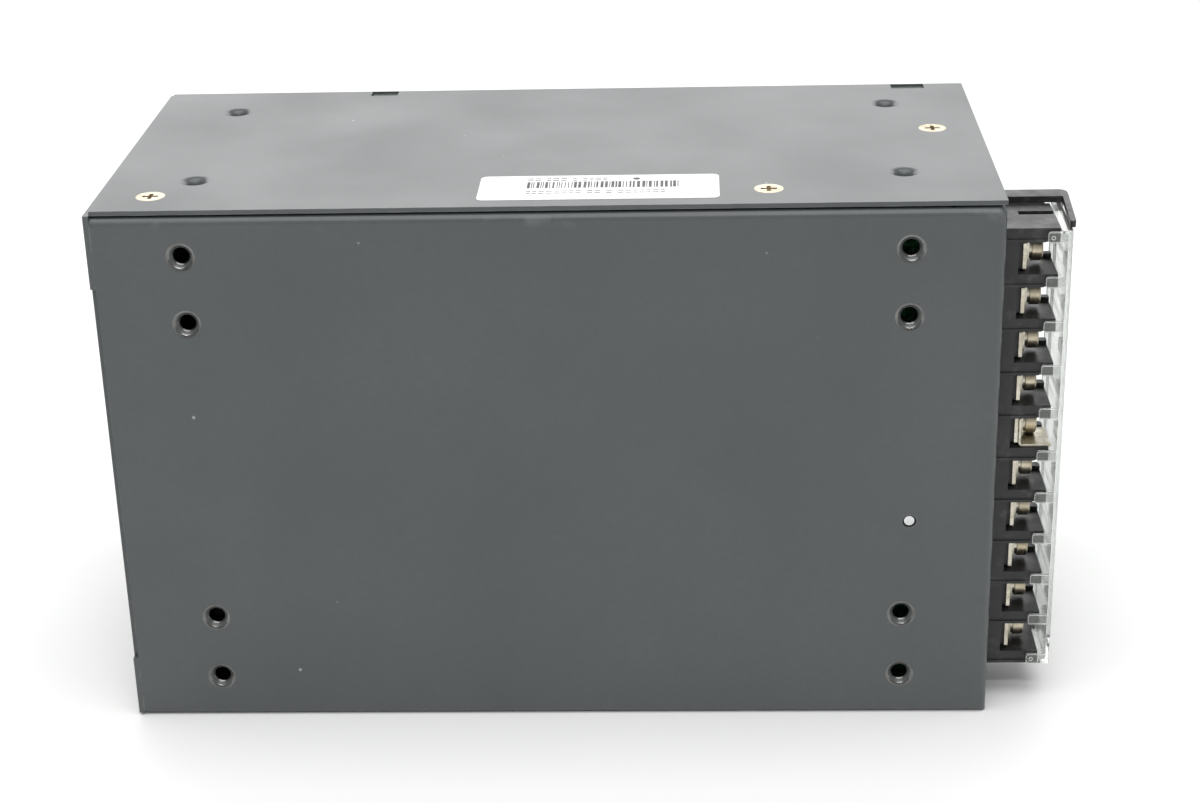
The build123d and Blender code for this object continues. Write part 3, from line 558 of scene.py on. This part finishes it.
def thread(bm, place, lip):
    """Metal of one tapped hole: a thin lining that follows the lip, and a helical ridge below."""
    centre_r = TAP_R + MOUTH_R

    def along_mouth(angle, layers):
        """Radius and height at an angle of the mouth's curve, lifted by lining thicknesses."""
        turn, reach = math.radians(angle), MOUTH_R + layers * LINING
        return (centre_r - reach * math.cos(turn), reach * math.sin(turn) - MOUTH_R)

    inner = [along_mouth(angle, layers) for angle, layers in (*lip, (0, 1.0))]
    outer = [along_mouth(lip[0][0] * share, -2.0) for share in (1.0, 0.75, 0.5, 0.25, 0.0)]
    bottom = THREAD_TOP - THREAD_TURNS * THREAD_PITCH
    foot = [(TAP_R - LINING, bottom), (TAP_R + LINING, bottom)]
    turned(bm, inner + foot + outer[::-1], place, 40)
    rings = []
    steps = int(THREAD_TURNS * 28)
    root = THREAD_PITCH * 0.42
    for k in range(steps + 1):
        share = k / steps
        height = THREAD_TOP - 0.3 * THREAD_PITCH - share * (THREAD_TURNS - 0.8) * THREAD_PITCH
        rise = THREAD_DEPTH * min(1.0, 8 * share + 0.05, 8 * (1 - share) + 0.05)
        spin = place @ Matrix.Rotation(2 * math.pi * (THREAD_TURNS - 0.8) * share, 4, "Z")
        ridge = ((TAP_R, height + root), (TAP_R - rise, height), (TAP_R, height - root))
        ridge += ((TAP_R + LINING, height),)
        rings.append([spin @ Vector((radius, 0.0, z)) for radius, z in ridge])
    skin(bm, rings, False)


def make_threads():
    chassis_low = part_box("chassis")[0]
    faces = (
        ("side", -chassis_low.y, WORN_LIP),
        ("top", CASE_TOP, PAINTED_LIP),
        ("base", -chassis_low.z, PAINTED_LIP),
    )
    for key, surface, lip in faces:
        bm = bmesh.new()
        for mount in RECORD["mounts"]:
            if mount["kind"] == "bolt_pattern" and mount["name"].startswith(key):
                for place in hole_places(mount, surface):
                    thread(bm, place, lip)
        add_piece(f"{key}_threads", bm, "housing", "zinc_screw", WORN_METAL)


# Label on the top

PAPER = 0.085 * MM
LABEL_CORNER_R = 1.5 * MM
INK_ABOVE, INK_BELOW = 0.012 * MM, 0.01 * MM
DASH_HALF = 0.24 * MM
DOT_R = 0.75 * MM


def rounded_rectangle(low, high, radius, steps=6):
    """Corner arcs of a rounded rectangle, counter-clockwise."""
    points = []
    right, left = high.x - radius, low.x + radius
    upper, lower = high.y - radius, low.y + radius
    for x, y, start in ((right, upper, 0), (left, upper, 90), (left, lower, 180), (right, lower, 270)):
        for k in range(steps + 1):
            angle = math.radians(start + 90 * k / steps)
            points.append((x + radius * math.cos(angle), y + radius * math.sin(angle)))
    return points


def make_label():
    """Paper sticker with a soft edge, and a plain pattern of bars and dashes in place of wording."""
    low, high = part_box("label")
    paper_top = low.z + PAPER
    bm = bmesh.new()
    levels = ((0.0, low.z), (0.0, paper_top - 0.03 * MM), (0.06 * MM, paper_top))
    rings = []
    for inset, z in levels:
        pull = Vector((inset, inset, 0))
        outline = rounded_rectangle(low + pull, high - pull, LABEL_CORNER_R)
        rings.append([Vector((x, y, z)) for x, y in outline])
    skin(bm, rings, False)
    sheet = add_piece("label_paper", bm, "housing", "label_face")
    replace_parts(sheet, "label")

    width, depth = high.x - low.x, high.y - low.y
    ink_low, ink_top = paper_top - INK_BELOW, paper_top + INK_ABOVE
    # Kind, middle across the label, start and end along it, and height: shares of its size
    rows = (
        ("dashes", 0.83, 0.20, 0.52, 0.13),
        ("bars", 0.60, 0.20, 0.84, 0.26),
        ("dashes", 0.30, 0.20, 0.77, 0.14),
    )
    choose = random.Random(7)
    bm = bmesh.new()
    for kind, middle, start, end, tall in rows:
        x, stop = low.x + start * width, low.x + end * width
        y = low.y + middle * depth
        while x < stop:
            bar = kind == "bars"
            mark = choose.choice((0.22, 0.22, 0.4, 0.62) if bar else (0.9, 1.15, 1.3)) * MM
            gap = choose.choice((0.22, 0.3, 0.5) if bar else (0.42, 0.42, 1.3)) * MM
            half = tall * depth / 2
            strokes = [(y, half)] if bar else [(y + side * 0.6 * half, DASH_HALF) for side in (-1, 1)]
            for line, reach in strokes:
                slab(bm, (x, line - reach, ink_low), (x + mark, line + reach, ink_top))
            x += mark + gap
    # A round dot stands after the dashes of the top row
    dot = Matrix.Translation((low.x + 0.655 * width, low.y + 0.83 * depth, paper_top))
    edge = [(ON_AXIS, INK_ABOVE), (DOT_R, INK_ABOVE), (DOT_R, -INK_BELOW), (ON_AXIS, -INK_BELOW)]
    turned(bm, edge, dot, 18)
    add_piece("label_print", bm, "housing", "label_face", INK, smooth=False)


# Fan

GUARD_RINGS = (9.0 * MM, 15.5 * MM, 22.0 * MM, 28.5 * MM)
GUARD_WIRE_R = 0.75 * MM
BARS_BEHIND_RINGS = 0.9 * MM
BAR_PAST_RINGS = 1.5 * MM
BAR_FOOT = 2 * MM
FAN_SCREW_OFFSET = 25.0 * MM
FAN_EYE_R = 2.9 * MM
FAN_HUB_R = 12.0 * MM
MOTOR_SEAT_DEPTH = 4.1 * MM
BLADES = 7
BLADE_ROOT = 0.6 * MM
BLADE_BELLY = 1.6 * MM
ACROSS, UP = Vector((0, 1, 0)), Vector((0, 0, 1))


def make_guard():
    """Finger guard of round wire: four rings on two crossed bars that end in eyes at the screws."""
    low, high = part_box("fan_guard")
    middle = (low + high) / 2
    ring_x = low.x + GUARD_WIRE_R
    bar_x = ring_x + BARS_BEHIND_RINGS
    foot_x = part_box("rear_panel")[0].x - GUARD_WIRE_R
    bm = bmesh.new()
    for radius in GUARD_RINGS:
        wire(bm, circle(Vector((ring_x, 0, middle.z)), ACROSS, UP, radius, 72), GUARD_WIRE_R, True)
    for turn in (-1, 1):
        slant = (ACROSS + turn * UP).normalized()
        reach = FAN_SCREW_OFFSET * math.sqrt(2) - FAN_EYE_R - GUARD_WIRE_R
        crossing = GUARD_RINGS[-1] + BAR_PAST_RINGS
        ends = ((-reach, foot_x), (-reach + BAR_FOOT, foot_x), (-crossing, bar_x))
        ends += ((crossing, bar_x), (reach - BAR_FOOT, foot_x), (reach, foot_x))
        path = [Vector((x, 0, middle.z)) + slant * along for along, x in ends]
        wire(bm, path, GUARD_WIRE_R)
        for side in (-1, 1):
            centre = Vector((foot_x, 0, middle.z))
            centre += side * FAN_SCREW_OFFSET * math.sqrt(2) * slant
            eye = circle(centre, ACROSS, UP, FAN_EYE_R - GUARD_WIRE_R / 2, 28)
            wire(bm, eye, GUARD_WIRE_R * 0.95, True)
    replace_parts(add_piece("fan_guard_wire", bm, "housing", "guard_wire"), "fan_guard")


def blade_rings(hub_r, tip_r, low_x, high_x, start):
    """Cross-sections of one curved blade, from inside the hub to the tip."""
    rings = []
    count, chord = 9, 13
    for i in range(count):
        share = i / (count - 1)
        radius = hub_r - BLADE_ROOT + share * (tip_r - hub_r + BLADE_ROOT)
        width = math.radians(44 + 4 * share)
        sweep = math.radians(20) * share**1.6
        depth = (high_x - low_x) * (0.96 - 0.26 * share)
        upper, lower = [], []
        for k in range(chord):
            u = k / (chord - 1)
            angle = start + sweep + width * (u - 0.5)
            belly = BLADE_BELLY * math.sin(math.pi * u)
            x = (low_x + high_x) / 2 + depth * (u - 0.5) + belly
            thick = (0.35 + 0.55 * math.sin(math.pi * u) ** 0.6) * MM * (1 - 0.35 * share)
            for face, side in ((upper, 0.5), (lower, -0.5)):
                turn = angle - side * thick / radius
                across, up = radius * math.cos(turn), radius * math.sin(turn)
                face.append(Vector((x + side * thick, across, up)))
        rings.append(upper + lower[::-1])
    return rings


def make_rotor():
    """Moulded impeller: a dished hub with a rounded rim and seven swept blades."""
    low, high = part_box("fan_rotor")
    frame_low, frame_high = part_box("fan_frame")
    centre = Vector((0, 0, (frame_low.z + frame_high.z) / 2))
    tip_r = (high.z - low.z) / 2 - 0.1 * MM
    back = frame_high.x - MOTOR_SEAT_DEPTH
    bm = bmesh.new()
    outline = [
        (ON_AXIS, low.x + 0.5 * MM),
        (9.0 * MM, low.x + 0.5 * MM),
        (9.3 * MM, low.x + 0.05 * MM),
        (11.2 * MM, low.x + 0.1 * MM),
        (11.8 * MM, low.x + 0.7 * MM),
        (FAN_HUB_R, low.x + 1.8 * MM),
        (FAN_HUB_R, back),
        (1.5 * MM, back),
        (1.5 * MM, high.x),
        (ON_AXIS, high.x),
    ]
    along_x = Matrix.Translation(centre) @ Matrix.Rotation(math.pi / 2, 4, "Y")
    turned(bm, [(radius, x) for radius, x in outline], along_x, 64)
    for index in range(BLADES):
        start = 2 * math.pi * index / BLADES
        rings = blade_rings(FAN_HUB_R, tip_r, low.x + 0.3 * MM, back - 0.2 * MM, start)
        skin(bm, [[point + centre for point in ring] for ring in rings], False)
    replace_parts(add_piece("fan_impeller", bm, "rotor", "fan_plastic"), "fan_rotor")


# Toroidal chokes

CORE_BORE_SHARE = 0.545
TURN_WIRE_R = 0.62 * MM
TURN_GAP = 0.06 * MM
TURN_BEND_R = 0.9 * MM


def make_turns(core, name, gap_deg, turns):
    """Enamelled wire round a toroidal core as closed turns, with a gap between its two halves."""
    low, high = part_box(core)
    centre = (low + high) / 2
    outer = (high.x - low.x) / 2
    inner = outer * CORE_BORE_SHARE
    half = (high.y - low.y) / 2
    reach = TURN_WIRE_R + TURN_GAP
    bm = bmesh.new()
    spread = 180 - 2 * gap_deg
    for side in (0, 180):
        for k in range(turns):
            angle = math.radians(side - 90 + gap_deg + spread * (k + 0.5) / turns)
            out = Vector((math.cos(angle), 0, math.sin(angle)))
            across = Vector((0, half + reach, 0))
            far, near = centre + out * (outer + reach), centre + out * (inner - reach)
            corners = [far - across, far + across, near + across, near - across]
            wire(bm, rounded_loop(corners, TURN_BEND_R), TURN_WIRE_R, True, 8)
    return add_piece(name, bm, "housing", "copper_wire")


def rounded_loop(corners, radius):
    """A closed path through corners, each cut by a three-point curve."""
    path = []
    for i, corner in enumerate(corners):
        before = (corners[i - 1] - corner).normalized()
        after = (corners[(i + 1) % len(corners)] - corner).normalized()
        for share in (0.0, 0.5, 1.0):
            start, end = corner + before * radius, corner + after * radius
            middle = corner * 2 * share * (1 - share)
            path.append(start * (1 - share) ** 2 + middle + end * share**2)
    return path


# Clear cover


def make_cover_marks():
    """Round ejector marks on the near faces of the two end clips."""
    low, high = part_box("terminal_shield")
    block_low, block_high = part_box("terminal_block")
    bm = bmesh.new()
    for z in (block_low.z + 1.4 * MM, block_high.z - 1.9 * MM):
        centre = Matrix.Translation((low.x + 1.1 * MM, low.y, z))
        place = centre @ Matrix.Rotation(math.pi / 2, 4, "X")
        inner, outer, under, top = 0.3 * MM, 0.48 * MM, -0.05 * MM, 0.06 * MM
        turned(bm, [(inner, under), (inner, top), (outer, top), (outer, under)], place, 20)
    add_piece("cover_ejector_marks", bm, "shield", "clear_plastic")


# Stage, lights and camera


def make_stage():
    """A plain pale floor, far larger than the view."""
    bm = bmesh.new()
    bmesh.ops.create_grid(bm, x_segments=1, y_segments=1, size=6.0)
    mesh = bpy.data.meshes.new("floor")
    bm.to_mesh(mesh)
    bm.free()
    floor = bpy.data.objects.new("floor", mesh)
    bpy.context.scene.collection.objects.link(floor)
    surface = Finish("floor", (0.86, 0.865, 0.86), 0.6)
    cloud = surface.fade(surface.noise(3.0), 0.3, 0.7)
    surface.colour(surface.mix(cloud, (0.85, 0.86, 0.85), (0.88, 0.885, 0.88)))
    mesh.materials.append(surface.material)


def make_light(name, place, target, size, power):
    """A soft rectangular lamp that faces a target."""
    light = bpy.data.lights.new(name, "AREA")
    light.shape = "RECTANGLE"
    light.size, light.size_y = size
    light.energy = power
    lamp = bpy.data.objects.new(name, light)
    lamp.location = place
    lamp.rotation_mode = "QUATERNION"
    lamp.rotation_quaternion = (Vector(target) - Vector(place)).to_track_quat("-Z", "Y")
    bpy.context.scene.collection.objects.link(lamp)


def make_world():
    world = bpy.data.worlds.new("studio")
    world.use_nodes = True
    background = world.node_tree.nodes["Background"]
    background.inputs["Color"].default_value = (1.0, 1.0, 0.995, 1.0)
    background.inputs["Strength"].default_value = 0.5
    bpy.context.scene.world = world


def make_camera():
    """Long lens from above the near side, a little to the terminals' side of the middle."""
    place = Vector((0.030588, -0.502819, 0.271172))
    right = Vector((0.999133, 0.033862, -0.024200))
    up = Vector((0.008979, 0.392393, 0.919759))
    back = right.cross(up)
    lens = bpy.data.cameras.new("camera")
    lens.sensor_width = 36.0
    lens.lens = 70.08
    lens.clip_start = 0.02
    lens.clip_end = 50.0
    camera = bpy.data.objects.new("camera", lens)
    turn = Matrix((right, up, back)).transposed().to_4x4()
    camera.matrix_world = Matrix.Translation(place) @ turn
    bpy.context.scene.collection.objects.link(camera)
    bpy.context.scene.camera = camera


finish_nodes()
for name, width in SOFTENED.items():
    soften(name, width)
make_threads()
make_label()
make_guard()
make_rotor()
make_turns("input_choke_core", "input_choke_turns", 12, 15)
make_turns("output_choke_core", "output_choke_turns", 12, 16)
make_cover_marks()
make_stage()
make_world()
make_light("overhead", (0.0, -0.2, 1.3), (0.0, 0.0, 0.06), (1.6, 1.0), 14.0)
make_light("front_softbox", (0.05, -1.0, 1.15), (0.0, 0.0, 0.06), (0.9, 0.1), 4.0)
make_light("back_softbox", (0.0, 1.5, 0.85), (0.0, 0.0, 0.1), (2.6, 0.9), 14.0)
make_camera()
bpy.context.scene.view_settings.view_transform = "Standard"
